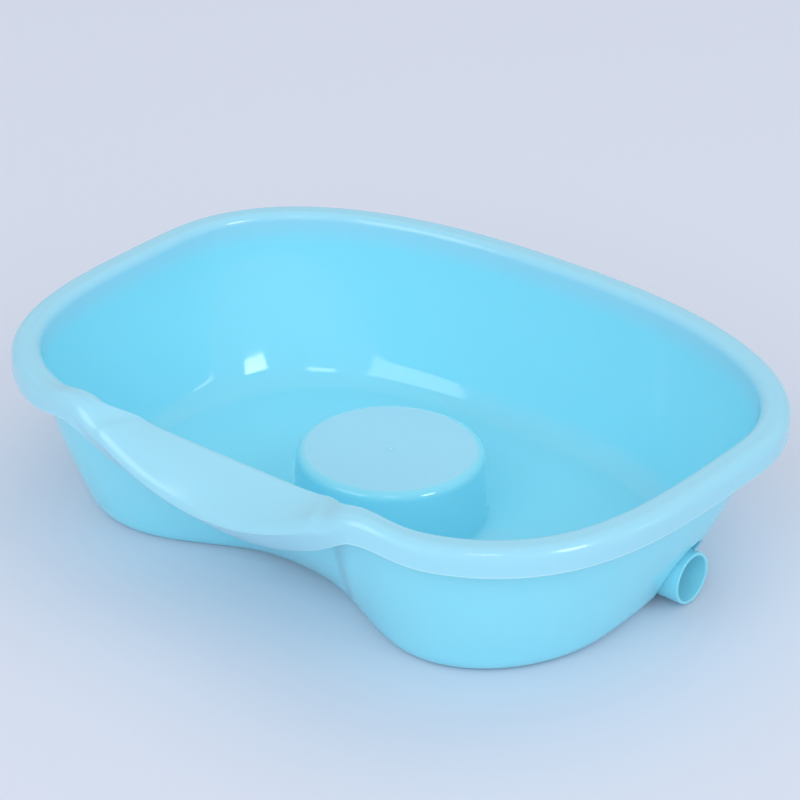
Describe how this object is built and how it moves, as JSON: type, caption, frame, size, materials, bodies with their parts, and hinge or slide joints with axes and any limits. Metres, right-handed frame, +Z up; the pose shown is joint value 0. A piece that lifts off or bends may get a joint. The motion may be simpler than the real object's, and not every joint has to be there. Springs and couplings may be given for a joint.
{
  "type": "hair-washing basin",
  "caption": "Oval plastic basin for washing the hair of a person lying in bed, with a dipped neck rest, a raised round head rest, a drain spigot in a niche and a rubber stopper.",
  "frame": {"origin": "on the surface that the basin stands on, under the middle of its bounding box", "axes": "+X along the neck side towards the drain, +Y from the neck rest to the back, +Z up"},
  "size_m": [0.56, 0.4321, 0.1385],
  "materials": {
    "basin_plastic": "glossy injection-moulded sky-blue polypropylene, slightly translucent, satin on the head rest's top",
    "stopper_rubber": "soft matt off-white rubber",
    "staple_steel": "drawn stainless wire",
    "ring_steel": "drawn stainless wire"
  },
  "bodies": {
    "basin": {"basin": "basin_plastic"},
    "stopper": {"drain_stopper": "stopper_rubber", "stopper_staple": "staple_steel"},
    "ring": {"pull_ring": "ring_steel"}
  },
  "joints": [
    {"name": "stopper_pull", "type": "slide", "parent": "basin", "child": "stopper", "axis": [-1, 0, 0], "range_m": [0, 0.06]},
    {"name": "ring_swing", "type": "hinge", "parent": "stopper", "child": "ring", "pos_m": [0.1899, 0.0333, 0.0214], "axis": [0, 1, 0], "range_deg": [0, 175]}
  ]
}
